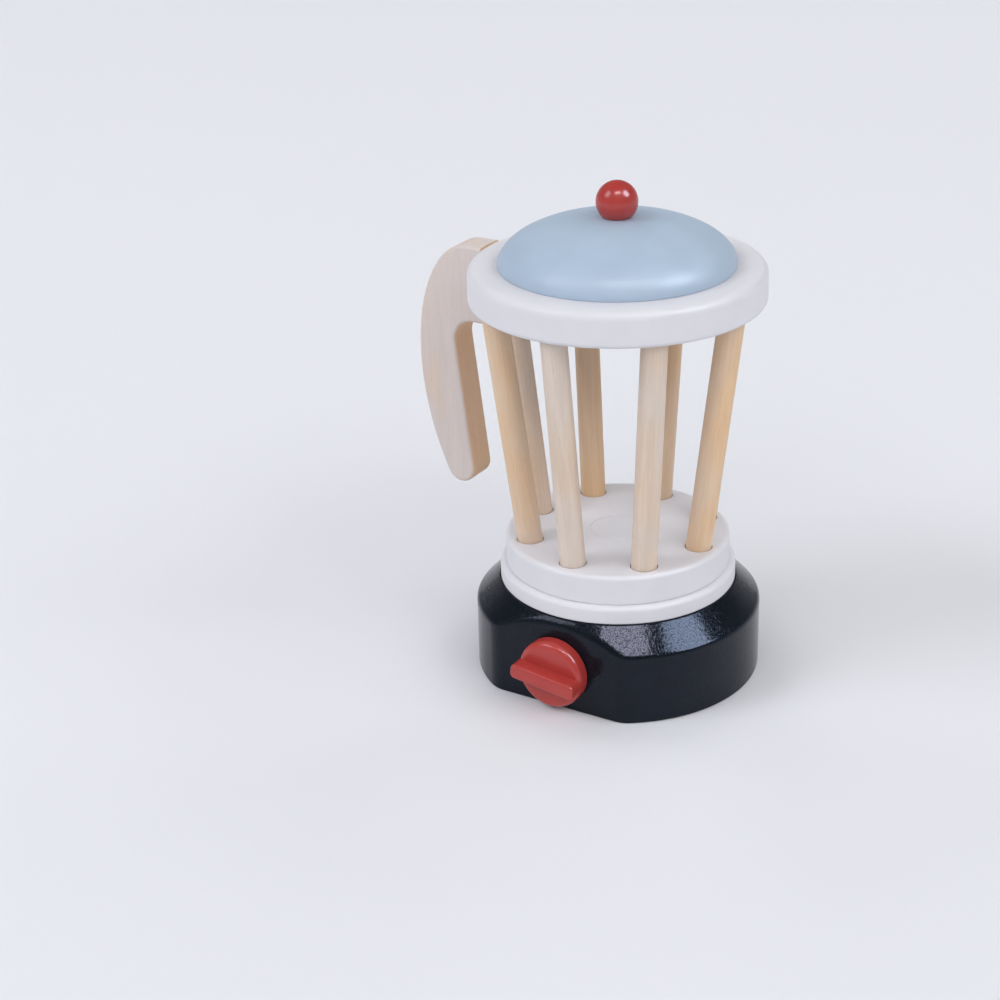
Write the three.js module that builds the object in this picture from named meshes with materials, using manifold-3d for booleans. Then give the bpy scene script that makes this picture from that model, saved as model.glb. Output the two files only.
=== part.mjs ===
// A toy blender: a turned base with a clicking knob, a lift-off jug of leaning rods, and a domed lid with a ball.
// Millimetres, +Z up. The origin is the middle of the underside, the knob faces -Y and the handle -X.
import * as THREE from "three";
import { mergeVertices, toCreasedNormals } from "three/addons/utils/BufferGeometryUtils.js";
import Module from "manifold-3d";

const wasm = await Module();
wasm.setup();

// Clearance between pieces that fit together, and how far every cut runs past what it cuts
const fitGap = 0.3;
const cutOver = 1;

// Facets
const roundSides = 56;
const pegSides = 36;
const dowelSides = 20;
const screwSides = 14;
const arcSteps = 1;
const fineArcSteps = 3;
const weldDistance = 1e-4;
const creaseAngle = THREE.MathUtils.degToRad(35);

// Base block
const baseRadius = 62;
const baseHeight = 41.3;
const baseChamfer = 10.3;
const baseFootRound = 1;
const baseShoulderRound = 1;
const flatDistance = 53.7;

// Pocket for the click work, open to the underside, and the board that closes it
const pocketWidth = 56;
const pocketLength = 70;
const pocketCorner = 6;
const pocketWall = 12.7;
const coverThickness = 4;
const coverLip = 6;
const coverScrewSpan = 48;

// Knob with its grip bar: how high it sits on the base, and how near it comes to the table
const knobHeightShare = 0.44;
const knobTableGap = 3;
const knobThickness = 8;
const knobFrontRound = 2.5;
const knobBackRound = 0.6;
const gripWidth = 8.8;
const gripProud = 5.4;
const gripRound = 1.6;
const gripTilt = THREE.MathUtils.degToRad(7);

// Knob axle, click wheel and what holds them
const axleRadius = 4;
const axleSeat = 6;
const wheelFloorGap = 2.2;
const wheelRoofGap = 1.1;
const wheelThickness = 6;
const notchCount = 12;
const notchDepth = 1.6;
const notchShare = 0.36;
const washerRadius = 7;
const washerThickness = 1.5;

// Click leaf, a bent springy strip with a nose in one notch
const leafThickness = 0.8;
const leafWidth = 5;
const leafFoot = 8.4;
const leafStandOff = 1.4;
const leafTail = 4;
const noseHeight = 4.4;
const noseGap = 0.4;

// Screws
const screwRadius = 1.6;
const screwHeadRadius = 3;
const screwSink = 0.2;
const coverScrewLength = 14;
const collarScrewLength = 16;
const axleScrewLength = 12;
const leafScrewLength = 7;
const panHeadRadius = 3.2;
const panHeadHeight = 2;
const panHeadRound = 1;

// Jug floor, collar and the peg that stands in the base
const collarRadius = 51.2;
const collarHeight = 7.8;
const collarTopRound = 2.2;
const collarFootRound = 0.8;
const floorRadius = 48.5;
const floorThickness = 13;
const floorTopRound = 2;
const floorFootRound = 0.5;
const pegRadius = 12;
const pegReach = 6;
const pegChamfer = 1;
const collarScrewCircle = 26;
const collarScrewCount = 3;
const collarScrewTurnShare = 0.25;

// Leaning rods
const rodRadius = 5.5;
const rodCount = 8;
const rodClearHeight = 105;
const rodFootCircle = 39.2;
const rodHeadCircle = 52.4;
const rodFootSeat = 8;
const rodHeadSeat = 10;

// Jug rim
const rimRadius = 62;
const rimThickness = 15;
const rimTopRound = 3.5;
const rimFootRound = 2;
const rimBoreRadius = 41;
const rimBoreRound = 1.5;

// Handle, a crescent board with a free lower end
const handleThickness = 15;
const handleEdgeRound = 1.5;
const handleTopDrop = 0.6;
const handleReach = 33.1;
const handleShoulder = 8;
const handleShoulderDrop = 49.5;
const handleBackRadius = 132;
const handleTipRadius = 7;
const fingerGap = 22;
const fingerTopDrop = 34.7;
const fingerCorner = 9;
const handleDowelRadius = 3;
const handleDowelInHandle = 16;
const handleDowelInRim = 17;
const handleDowelDrop = 9.5;

// Lid
const domeRadius = 49.3;
const domeRise = 20;
const domeFootRound = 0.4;
const domeSteps = 6;
const plugGap = 0.6;
const plugDepth = 8;
const plugRound = 1;
const ballRadius = 8.75;
const ballSeat = 6.2;
const ballSides = 30;
const ballSteps = 6;
const pinRadius = 3;
const pinInBall = 9;
const pinInPlug = 5;

// Sizes that follow from those above
const knobHeight = baseHeight * knobHeightShare;
const knobRadius = knobHeight - knobTableGap;
const wheelRadius = knobHeight - coverThickness - wheelFloorGap;
const pocketTop = knobHeight + wheelRadius + wheelRoofGap;
const pocketFront = flatDistance - pocketWall;
const floorTop = collarHeight + floorThickness;
const rimFoot = floorTop + rodClearHeight;
const rimTop = rimFoot + rimThickness;
const rodLean = Math.atan2(rodHeadCircle - rodFootCircle, rodClearHeight);

// Finishes
const whitePaint = { color: 0xe4e6ea, roughness: 0.5, metalness: 0 };
const bluePaint = { color: 0xacc0d6, roughness: 0.45, metalness: 0 };
const redPaint = { color: 0xc0463f, roughness: 0.3, metalness: 0 };
const blackPaint = { color: 0x1f242b, roughness: 0.25, metalness: 0 };
const paleWood = { color: 0xd9c0a4, roughness: 0.65, metalness: 0 };
const darkWood = { color: 0xb8946a, roughness: 0.7, metalness: 0 };
const steel = { color: 0xb9bcc0, roughness: 0.35, metalness: 1 };

// Solids: geometry in, booleans, geometry out

function solid(geometry) {
  const bare = geometry.clone();
  bare.deleteAttribute("normal");
  bare.deleteAttribute("uv");
  const welded = mergeVertices(bare, weldDistance);
  return new wasm.Manifold(
    new wasm.Mesh({
      numProp: 3,
      vertProperties: welded.attributes.position.array,
      triVerts: new Uint32Array(welded.index.array),
    }),
  );
}

function surface(body) {
  const { vertProperties, triVerts } = body.getMesh();
  const geometry = new THREE.BufferGeometry();
  geometry.setAttribute("position", new THREE.BufferAttribute(vertProperties, 3));
  geometry.setIndex(new THREE.BufferAttribute(triVerts, 1));
  return toCreasedNormals(geometry, creaseAngle);
}

function cut(geometry, ...tools) {
  return surface(tools.reduce((body, tool) => body.subtract(solid(tool)), solid(geometry)));
}

function join(geometry, ...more) {
  return surface(more.reduce((body, piece) => body.add(solid(piece)), solid(geometry)));
}

// A path through corners [x, y, radius], each rounded by an arc of its radius
function roundedPath(corners, closed) {
  const path = new THREE.Path();
  corners.forEach(([x, y, radius = 0], i) => {
    const here = new THREE.Vector2(x, y);
    if (!radius) {
      if (i === 0) path.moveTo(x, y);
      else path.lineTo(x, y);
      return;
    }
    const [beforeX, beforeY] = corners[(i + corners.length - 1) % corners.length];
    const [afterX, afterY] = corners[(i + 1) % corners.length];
    const back = new THREE.Vector2(beforeX, beforeY).sub(here).normalize();
    const ahead = new THREE.Vector2(afterX, afterY).sub(here).normalize();
    const halfAngle = Math.acos(back.dot(ahead)) / 2;
    const toTangent = radius / Math.tan(halfAngle);
    const centre = back.clone().add(ahead).setLength(radius / Math.sin(halfAngle)).add(here);
    const start = back.clone().multiplyScalar(toTangent).add(here).sub(centre);
    const end = ahead.clone().multiplyScalar(toTangent).add(here).sub(centre);
    if (i > 0) path.lineTo(centre.x + start.x, centre.y + start.y);
    path.absarc(centre.x, centre.y, radius, start.angle(), end.angle(), back.cross(ahead) > 0);
  });
  if (closed) path.closePath();
  return path;
}

// A body turned about Z from a path of (radius, height), outwards and then back to the axis or to its start
function turned(path, sides = roundSides, steps = arcSteps) {
  return new THREE.LatheGeometry(path.getPoints(steps), sides).rotateX(Math.PI / 2);
}

// A plain cylinder on the Z axis from one height to another
function rod(radius, from, to, sides = dowelSides) {
  return turned(roundedPath([[0, from], [radius, from], [radius, to], [0, to]]), sides);
}

function boardPrism(outline, depth, steps = fineArcSteps) {
  return new THREE.ExtrudeGeometry(outline, { depth, bevelEnabled: false, curveSegments: steps });
}

function roundedRectangle(width, length, corner) {
  const x = width / 2;
  const y = length / 2;
  const corners = [[-x, -y, corner], [x, -y, corner], [x, y, corner], [-x, y, corner]];
  return new THREE.Shape(roundedPath(corners, true).getPoints(arcSteps));
}

function stadium(length, width) {
  const radius = width / 2;
  const reach = length / 2 - radius;
  const path = new THREE.Path();
  path.absarc(reach, 0, radius, -Math.PI / 2, Math.PI / 2, false);
  path.absarc(-reach, 0, radius, Math.PI / 2, (Math.PI * 3) / 2, false);
  return new THREE.Shape(path.closePath().getPoints(fineArcSteps));
}

function mesh(name, geometry, finish) {
  const made = new THREE.Mesh(geometry, new THREE.MeshStandardMaterial(finish));
  made.name = name;
  return made;
}

// Countersunk screw with its head at the origin and its point down, or the hole that it needs
function countersunkScrew(length, gap = 0) {
  const coneHeight = screwHeadRadius - screwRadius;
  const top = gap ? cutOver : -screwSink;
  return turned(
    roundedPath([
      [0, -length - gap],
      [screwRadius + gap, -length - gap],
      [screwRadius + gap, -coneHeight - screwSink],
      [screwHeadRadius + gap, -screwSink],
      ...(gap ? [[screwHeadRadius + gap, top]] : []),
      [0, top],
    ]),
    screwSides,
  );
}

// Pan head screw with the underside of its head at the origin and its point down
function panScrew(length) {
  return turned(
    roundedPath([
      [0, -length],
      [screwRadius, -length],
      [screwRadius, 0],
      [panHeadRadius, 0],
      [panHeadRadius, panHeadHeight, panHeadRound],
      [0, panHeadHeight],
    ]),
    screwSides,
  );
}

function panScrewHole(length) {
  return rod(screwRadius + fitGap, -length - fitGap, cutOver, screwSides);
}

// Base

const coverScrewPlaces = [-1, 1].flatMap((side) =>
  [-1, 1].map((end) => [
    (side * (pocketWidth + coverLip)) / 2,
    pocketLength / 2 - pocketFront + (end * coverScrewSpan) / 2,
  ]),
);

const leafScrewX = wheelRadius + leafStandOff + (leafFoot + leafThickness) / 2;
const leafMiddle = pocketFront - fitGap - wheelThickness / 2;

function baseBlock() {
  const block = turned(
    roundedPath([
      [0, 0],
      [baseRadius, 0, baseFootRound],
      [baseRadius, baseHeight - baseChamfer, baseShoulderRound],
      [baseRadius - baseChamfer, baseHeight],
      [0, baseHeight],
    ]),
  );
  const flatCut = new THREE.BoxGeometry(baseRadius * 2, baseRadius, baseHeight + cutOver * 2);
  flatCut.translate(0, -flatDistance - baseRadius / 2, baseHeight / 2);
  const pocket = boardPrism(roundedRectangle(pocketWidth, pocketLength, pocketCorner), pocketTop + cutOver);
  pocket.translate(0, pocketLength / 2 - pocketFront, -cutOver);
  const recess = boardPrism(
    roundedRectangle(pocketWidth + coverLip * 2, pocketLength + coverLip * 2, pocketCorner + coverLip),
    coverThickness + cutOver,
  );
  recess.translate(0, pocketLength / 2 - pocketFront, -cutOver);
  const pegHole = rod(pegRadius + fitGap, baseHeight - pegReach - fitGap, baseHeight + cutOver, pegSides);
  const axleHole = rod(axleRadius + fitGap, -pocketWall - cutOver, cutOver).rotateX(Math.PI / 2);
  axleHole.translate(0, -flatDistance, knobHeight);
  const screwHoles = coverScrewPlaces.map(([x, y]) =>
    countersunkScrew(coverScrewLength, fitGap).rotateX(Math.PI).translate(x, y, 0),
  );
  const leafScrewHole = panScrewHole(leafScrewLength).rotateX(Math.PI);
  leafScrewHole.translate(leafScrewX, -leafMiddle, pocketTop);
  return cut(block, flatCut, pocket, recess, pegHole, axleHole, leafScrewHole, ...screwHoles);
}

function bottomCover() {
  const board = boardPrism(
    roundedRectangle(
      pocketWidth + (coverLip - fitGap) * 2,
      pocketLength + (coverLip - fitGap) * 2,
      pocketCorner + coverLip - fitGap,
    ),
    coverThickness,
  );
  board.translate(0, pocketLength / 2 - pocketFront, 0);
  const holes = coverScrewPlaces.map(([x, y]) =>
    countersunkScrew(coverScrewLength, fitGap).rotateX(Math.PI).translate(x, y, 0),
  );
  return cut(board, ...holes);
}

// The leaf's side view in x and z, extruded to its width: a foot under the roof and a limb with a nose beside the wheel
function clickLeaf() {
  const inner = wheelRadius + leafStandOff;
  const outer = inner + leafThickness;
  const noseTip = wheelRadius - notchDepth + noseGap;
  const bend = leafThickness / 2;
  const half = noseHeight / 2;
  const outline = new THREE.Shape();
  outline.moveTo(inner, pocketTop);
  outline.lineTo(inner, knobHeight + half);
  outline.lineTo(noseTip, knobHeight);
  outline.lineTo(inner, knobHeight - half);
  outline.lineTo(inner, knobHeight - half - leafTail);
  outline.lineTo(outer, knobHeight - half - leafTail);
  outline.lineTo(outer, knobHeight - half - bend);
  outline.lineTo(noseTip + leafThickness + bend, knobHeight);
  outline.lineTo(outer, knobHeight + half + bend);
  outline.lineTo(outer, pocketTop - leafThickness);
  outline.lineTo(inner + leafFoot, pocketTop - leafThickness);
  outline.lineTo(inner + leafFoot, pocketTop);
  outline.closePath();
  const strip = boardPrism(outline, leafWidth).rotateX(Math.PI / 2);
  strip.translate(0, leafWidth / 2 - leafMiddle, 0);
  const hole = panScrewHole(leafScrewLength).rotateX(Math.PI);
  hole.translate(leafScrewX, -leafMiddle, pocketTop - leafThickness);
  return cut(strip, hole);
}

const base = new THREE.Group();
base.add(mesh("base_block", baseBlock(), blackPaint));
base.add(mesh("bottom_cover", bottomCover(), darkWood));
coverScrewPlaces.forEach(([x, y], i) => {
  const screw = mesh(`cover_screw_${i + 1}`, countersunkScrew(coverScrewLength), steel);
  screw.position.set(x, y, 0);
  screw.rotation.x = Math.PI;
  base.add(screw);
});
base.add(mesh("click_leaf", clickLeaf(), steel));
const leafScrew = mesh("click_leaf_screw", panScrew(leafScrewLength), steel);
leafScrew.position.set(leafScrewX, -leafMiddle, pocketTop - leafThickness);
leafScrew.rotation.x = Math.PI;
base.add(leafScrew);

// Knob: its own Z points out of the flat, from the flat's surface

const knobBack = fitGap;
const knobFront = knobBack + knobThickness;
const wheelFront = -pocketWall - fitGap;
const wheelBack = wheelFront - wheelThickness;

function speedKnob() {
  const disc = turned(
    roundedPath([
      [0, knobBack],
      [knobRadius, knobBack, knobBackRound],
      [knobRadius, knobFront, knobFrontRound],
      [0, knobFront],
    ]),
    roundSides,
  );
  const bar = new THREE.ExtrudeGeometry(stadium(knobRadius * 2, gripWidth), {
    depth: knobThickness / 2 + gripProud - gripRound,
    bevelThickness: gripRound,
    bevelSize: gripRound,
    bevelOffset: -gripRound,
    bevelSegments: arcSteps,
  });
  bar.rotateZ(-gripTilt).translate(0, 0, knobBack + knobThickness / 2);
  const axleHole = rod(axleRadius + fitGap, knobBack - cutOver, knobBack + axleSeat + fitGap);
  return cut(join(disc, bar), axleHole);
}

function knobAxle() {
  const back = wheelBack + fitGap;
  const shaft = rod(axleRadius, back, knobBack + axleSeat);
  return cut(shaft, panScrewHole(axleScrewLength).rotateX(Math.PI).translate(0, 0, back - washerThickness));
}

// The wheel's rim carries evenly spaced V notches, one of them on the +X side at rest
function clickWheel() {
  const pitch = (Math.PI * 2) / notchCount;
  const halfNotch = (pitch * notchShare) / 2;
  const outline = new THREE.Shape();
  for (let i = 0; i < notchCount; i += 1) {
    const middle = i * pitch;
    const root = wheelRadius - notchDepth;
    const start = middle + halfNotch;
    if (i === 0) outline.moveTo(root * Math.cos(middle), root * Math.sin(middle));
    else outline.lineTo(root * Math.cos(middle), root * Math.sin(middle));
    outline.lineTo(wheelRadius * Math.cos(start), wheelRadius * Math.sin(start));
    outline.absarc(0, 0, wheelRadius, start, middle + pitch - halfNotch, false);
  }
  outline.closePath();
  const wheel = boardPrism(outline, wheelThickness, arcSteps);
  wheel.translate(0, 0, wheelBack);
  return cut(wheel, rod(axleRadius + fitGap, wheelBack - cutOver, wheelFront + cutOver));
}

function axleWasher() {
  const disc = rod(washerRadius, wheelBack - washerThickness, wheelBack);
  return cut(disc, rod(screwRadius + fitGap, wheelBack - washerThickness - cutOver, wheelBack + cutOver));
}

const knob = new THREE.Group();
knob.position.set(0, -flatDistance, knobHeight);
knob.rotation.x = Math.PI / 2;
knob.add(mesh("speed_knob", speedKnob(), redPaint));
knob.add(mesh("knob_axle", knobAxle(), paleWood));
knob.add(mesh("click_wheel", clickWheel(), darkWood));
knob.add(mesh("axle_washer", axleWasher(), steel));
const axleScrew = mesh("axle_screw", panScrew(axleScrewLength), steel);
axleScrew.position.z = wheelBack - washerThickness;
axleScrew.rotation.x = Math.PI;
knob.add(axleScrew);

// Jug: its own origin is the middle of the collar's underside

// Where a rod stands: its foot at the floor's top, leaning outwards in its own radial plane. The first one is on -X.
function rodPlace(i) {
  const turn = new THREE.Matrix4().makeRotationZ((i * Math.PI * 2) / rodCount + Math.PI);
  const foot = new THREE.Matrix4().makeTranslation(rodFootCircle, 0, floorTop);
  return turn.multiply(foot).multiply(new THREE.Matrix4().makeRotationY(rodLean));
}

const rodIndices = Array.from({ length: rodCount }, (_, i) => i);
const rodLength = rodClearHeight / Math.cos(rodLean);
const handleRod = 0;

function rodHole(i) {
  const from = -rodFootSeat - fitGap;
  const to = rodLength + rodHeadSeat + fitGap;
  return rod(rodRadius + fitGap, from, to).applyMatrix4(rodPlace(i));
}

// The handle's dowel runs inwards along -X from the handle through the rim and the head of one rod
function handleDowel(gap) {
  const dowel = rod(handleDowelRadius + gap, rimRadius - handleDowelInRim - gap, rimRadius + handleDowelInHandle + gap);
  return dowel.rotateY(-Math.PI / 2).translate(0, 0, rimTop - handleDowelDrop);
}

function collarScrewPlace(i) {
  const angle = ((i + collarScrewTurnShare) * Math.PI * 2) / collarScrewCount;
  return [collarScrewCircle * Math.cos(angle), collarScrewCircle * Math.sin(angle)];
}

const collarScrewPlaces = Array.from({ length: collarScrewCount }, (_, i) => collarScrewPlace(i));

function collarScrewHoles() {
  return collarScrewPlaces.map(([x, y]) =>
    countersunkScrew(collarScrewLength, fitGap).rotateX(Math.PI).translate(x, y, 0),
  );
}

function jugCollar() {
  const disc = turned(
    roundedPath([
      [0, 0],
      [collarRadius, 0, collarFootRound],
      [collarRadius, collarHeight, collarTopRound],
      [0, collarHeight],
    ]),
  );
  const pegHole = rod(pegRadius + fitGap, -cutOver, collarHeight + cutOver, pegSides);
  return cut(disc, pegHole, ...collarScrewHoles());
}

function jugFloor() {
  const disc = turned(
    roundedPath([
      [0, collarHeight],
      [floorRadius, collarHeight, floorFootRound],
      [floorRadius, floorTop, floorTopRound],
      [0, floorTop],
    ]),
  );
  const pegHole = rod(pegRadius + fitGap, collarHeight - cutOver, floorTop + cutOver, pegSides);
  return cut(disc, pegHole, ...rodIndices.map(rodHole), ...collarScrewHoles());
}

function jugPeg() {
  return turned(
    roundedPath([
      [0, -pegReach],
      [pegRadius - pegChamfer, -pegReach],
      [pegRadius, pegChamfer - pegReach],
      [pegRadius, floorTop],
      [0, floorTop],
    ]),
    pegSides,
  );
}

function jugRod(i) {
  const bar = rod(rodRadius, -rodFootSeat, rodLength + rodHeadSeat);
  if (i !== handleRod) return bar;
  return cut(bar, handleDowel(fitGap).applyMatrix4(rodPlace(i).invert()));
}

function jugRim() {
  const ring = turned(
    roundedPath(
      [
        [rimBoreRadius, rimFoot, rimBoreRound],
        [rimRadius, rimFoot, rimFootRound],
        [rimRadius, rimTop, rimTopRound],
        [rimBoreRadius, rimTop, rimBoreRound],
      ],
      true,
    ),
  );
  return cut(ring, handleDowel(fitGap), ...rodIndices.map(rodHole));
}

// The handle's side view: x is the distance from the jug's axis and y the height.
// A straight top, an elliptical shoulder, a long arc down the back, a round tip, then an inner edge parallel to the
// rods up to the round corner of the finger gap.
function handleOutline() {
  const top = rimTop - handleTopDrop;
  const widest = top - handleShoulderDrop;
  const back = rimRadius + handleReach;
  const shoulder = rimRadius + handleShoulder;
  const gapTop = rimTop - fingerTopDrop;
  const innerAt = (height) =>
    rodFootCircle + rodRadius / Math.cos(rodLean) + fingerGap + (height - floorTop) * Math.tan(rodLean);
  const arcCentreX = back - handleBackRadius;

  // The tip's centre keeps the tip's radius from the inner edge and from the back's arc
  const reach = handleBackRadius - handleTipRadius;
  const sin = Math.sin(rodLean);
  const cos = Math.cos(rodLean);
  const edgeX = innerAt(widest) + handleTipRadius * cos - arcCentreX;
  const edgeY = -handleTipRadius * sin;
  const along = edgeX * sin + edgeY * cos;
  const down = -along - Math.sqrt(along * along - edgeX * edgeX - edgeY * edgeY + reach * reach);
  const tipX = edgeX + down * sin;
  const tipY = edgeY + down * cos;
  const tipEnd = Math.atan2(tipY, tipX);

  const outline = new THREE.Shape();
  outline.moveTo(rimRadius - cutOver, gapTop);
  outline.lineTo(rimRadius - cutOver, top);
  outline.absellipse(shoulder, widest, back - shoulder, handleShoulderDrop, Math.PI / 2, 0, true, 0);
  outline.absarc(arcCentreX, widest, handleBackRadius, 0, tipEnd, true);
  outline.absarc(arcCentreX + tipX, widest + tipY, handleTipRadius, tipEnd, Math.PI - rodLean, true);

  // The finger gap's corner touches the inner edge and the gap's level top
  const cornerY = gapTop - fingerCorner;
  const cornerX = innerAt(cornerY) - fingerCorner / cos;
  outline.absarc(cornerX, cornerY, fingerCorner, -rodLean, Math.PI / 2, false);
  outline.closePath();
  return outline;
}

function handleBoard() {
  const board = new THREE.ExtrudeGeometry(handleOutline(), {
    depth: handleThickness - handleEdgeRound * 2,
    bevelThickness: handleEdgeRound,
    bevelSize: handleEdgeRound,
    bevelOffset: -handleEdgeRound,
    bevelSegments: arcSteps,
    curveSegments: fineArcSteps * 2,
  });
  board.rotateX(Math.PI / 2).rotateZ(Math.PI);
  board.translate(0, handleEdgeRound - handleThickness / 2, 0);
  const rimSide = rod(rimRadius + fitGap, -cutOver, rimTop + cutOver, roundSides);
  return cut(board, rimSide, handleDowel(fitGap));
}

const jug = new THREE.Group();
jug.position.z = baseHeight;
jug.add(mesh("jug_collar", jugCollar(), whitePaint));
jug.add(mesh("jug_floor", jugFloor(), whitePaint));
jug.add(mesh("jug_peg", jugPeg(), whitePaint));
collarScrewPlaces.forEach(([x, y], i) => {
  const screw = mesh(`collar_screw_${i + 1}`, countersunkScrew(collarScrewLength), steel);
  screw.position.set(x, y, 0);
  screw.rotation.x = Math.PI;
  jug.add(screw);
});
rodIndices.forEach((i) => {
  const piece = mesh(`jug_rod_${i + 1}`, jugRod(i), paleWood);
  piece.applyMatrix4(rodPlace(i));
  jug.add(piece);
});
jug.add(mesh("jug_rim", jugRim(), whitePaint));
jug.add(mesh("handle", handleBoard(), paleWood));
jug.add(mesh("handle_dowel", handleDowel(0), paleWood));

// Lid: its own origin is the middle of the dome's underside

// The dome's section is a quarter of an ellipse over an eased foot
function lidDome() {
  const path = new THREE.Path();
  path.moveTo(0, 0);
  path.lineTo(domeRadius - domeFootRound, 0);
  path.lineTo(domeRadius, domeFootRound);
  path.absellipse(0, domeFootRound, domeRadius, domeRise - domeFootRound, 0, Math.PI / 2, false, 0);
  const pinHole = rod(pinRadius + fitGap, -cutOver, domeRise + cutOver);
  return cut(turned(path, roundSides, domeSteps), pinHole);
}

function lidPlug() {
  const radius = rimBoreRadius - plugGap;
  const disc = turned(
    roundedPath([
      [0, -plugDepth],
      [radius, -plugDepth, plugRound],
      [radius, 0],
      [0, 0],
    ]),
  );
  return cut(disc, rod(pinRadius + fitGap, -pinInPlug - fitGap, cutOver));
}

function lidKnob() {
  const centre = domeRise + ballSeat;
  const seatAngle = -Math.asin(ballSeat / ballRadius);
  const path = new THREE.Path();
  path.moveTo(0, domeRise);
  path.lineTo(ballRadius * Math.cos(seatAngle), domeRise);
  path.absarc(0, centre, ballRadius, seatAngle, Math.PI / 2, false);
  const ball = turned(path, ballSides, ballSteps);
  return cut(ball, rod(pinRadius + fitGap, domeRise - cutOver, domeRise + pinInBall + fitGap));
}

const lid = new THREE.Group();
lid.position.z = rimTop;
lid.add(mesh("lid_dome", lidDome(), bluePaint));
lid.add(mesh("lid_plug", lidPlug(), bluePaint));
lid.add(mesh("lid_knob", lidKnob(), redPaint));
lid.add(mesh("lid_knob_pin", rod(pinRadius, -pinInPlug, domeRise + pinInBall), paleWood));
jug.add(lid);

const blender = new THREE.Group();
blender.add(base, knob, jug);

export default blender;
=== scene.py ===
"""Looks for the toy blender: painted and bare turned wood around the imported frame, in metres."""
import math

import bmesh
import bpy
from mathutils import Matrix, Vector


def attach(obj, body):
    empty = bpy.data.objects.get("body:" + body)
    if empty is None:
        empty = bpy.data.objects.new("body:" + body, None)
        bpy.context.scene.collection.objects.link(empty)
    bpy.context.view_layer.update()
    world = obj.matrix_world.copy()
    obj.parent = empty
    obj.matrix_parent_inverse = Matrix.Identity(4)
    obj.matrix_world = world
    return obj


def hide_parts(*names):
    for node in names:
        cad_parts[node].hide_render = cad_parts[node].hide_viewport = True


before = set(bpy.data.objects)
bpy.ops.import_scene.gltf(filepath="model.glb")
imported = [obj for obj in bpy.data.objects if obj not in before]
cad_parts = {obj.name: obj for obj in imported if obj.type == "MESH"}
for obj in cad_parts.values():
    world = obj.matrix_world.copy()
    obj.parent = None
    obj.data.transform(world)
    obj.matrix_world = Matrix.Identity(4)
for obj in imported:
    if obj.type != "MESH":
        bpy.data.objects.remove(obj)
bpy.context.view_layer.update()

MM = 0.001
TAU = 2 * math.pi
QUARTER = math.pi / 2

# Sizes in millimetres, those of the solids apart from the knob's disc and grip, which are measured anew, the
# larger round of the base's shoulder, the soft edges of the flat and the gaps round rods and peg
FIT = 0.3
BASE_R, BASE_H, CHAMFER, SHOULDER_ROUND = 62.0, 41.3, 10.3, 3.2
FLAT, FLAT_EASE, FLAT_FOOT = 53.7, 2.0, 0.8
COVER_T, COVER_W, COVER_L, COVER_CORNER = 4.0, 68.0, 82.0, 12.0
POCKET_W, POCKET_L, POCKET_CORNER, POCKET_FRONT, POCKET_TOP = 56.0, 70.0, 6.0, 41.0, 31.244
COVER_SCREWS = [(-31.0, -30.0), (-31.0, 18.0), (31.0, -30.0), (31.0, 18.0)]
KNOB_Z, KNOB_R, KNOB_REACH = 18.172, 15.172, 13.4
KNOB_T, GRIP_W, GRIP_CORNER, GRIP_EASE, GRIP_TILT = 7.0, 6.6, 2.2, 1.0, 7.0
AXLE_R, AXLE_SEAT, WALL = 4.0, 6.0, 12.7
SCREW_R, SCREW_HEAD, SCREW_SINK = 1.6, 3.0, 0.2
RECESS_REACH, RECESS_HALF_W, RECESS_DEPTH = 2.1, 0.42, 1.5
COVER_SCREW_LONG, COLLAR_SCREW_LONG, COLLAR_SCREW_CIRCLE = 14.0, 16.0, 26.0
COLLAR_R, COLLAR_H = 51.2, 7.8
FLOOR_R, FLOOR_T = 48.5, 13.0
PEG_R, PEG_REACH, PEG_CHAMFER, PEG_GAP = 12.0, 6.0, 1.0, 0.06
ROD_COUNT, ROD_R, ROD_GAP, ROD_CLEAR, ROD_FOOT, ROD_HEAD = 8, 5.5, 0.4, 105.0, 39.2, 52.4
FOOT_SEAT, HEAD_SEAT = 8.0, 10.0
RIM_R, RIM_T, RIM_BORE = 62.0, 15.0, 41.0
HANDLE_T, HANDLE_EASE, HANDLE_SINK, HANDLE_DROP, HANDLE_SEAT = 15.0, 1.5, 0.6, 49.5, 3.0
BACK_OUT, BACK_R, SHOULDER_OUT, TIP_R = 33.1, 132.0, 8.0, 7.0
FINGER_GAP, GAP_DROP, GAP_CORNER = 22.0, 34.7, 9.0
DOWEL_R, DOWEL_DROP, DOWEL_IN_RIM, DOWEL_IN_HANDLE = 3.0, 9.5, 17.0, 16.0
DOME_R, DOME_RISE, DOME_FOOT = 49.3, 20.0, 0.4
PLUG_DEPTH, PLUG_GAP = 8.0, 0.6
BALL_R, BALL_SEAT = 8.75, 6.2
PIN_R, PIN_IN_PLUG, PIN_IN_BALL = 3.0, 5.0, 9.0

FLOOR_TOP = BASE_H + COLLAR_H + FLOOR_T
RIM_FOOT = FLOOR_TOP + ROD_CLEAR
RIM_TOP = RIM_FOOT + RIM_T
LEAN = math.atan2(ROD_HEAD - ROD_FOOT, ROD_CLEAR)
ROD_LONG = ROD_CLEAR / math.cos(LEAN)
POCKET_MIDDLE = POCKET_L / 2 - POCKET_FRONT

# Millimetres too: how far a cutting tool goes past the face it cuts, how far the rows of points beside a
# rounded edge lie from it, and how near to each other two points are joined
PAST = 1.0
HOLD = 0.3
WELD = 0.002


# Mesh code

def arc(cx, cy, radius, start, end, steps):
    """Points on an arc from one angle to another, with both its ends."""
    angles = [start + (end - start) * i / steps for i in range(steps + 1)]
    return [(cx + radius * math.cos(a), cy + radius * math.sin(a)) for a in angles]


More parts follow.
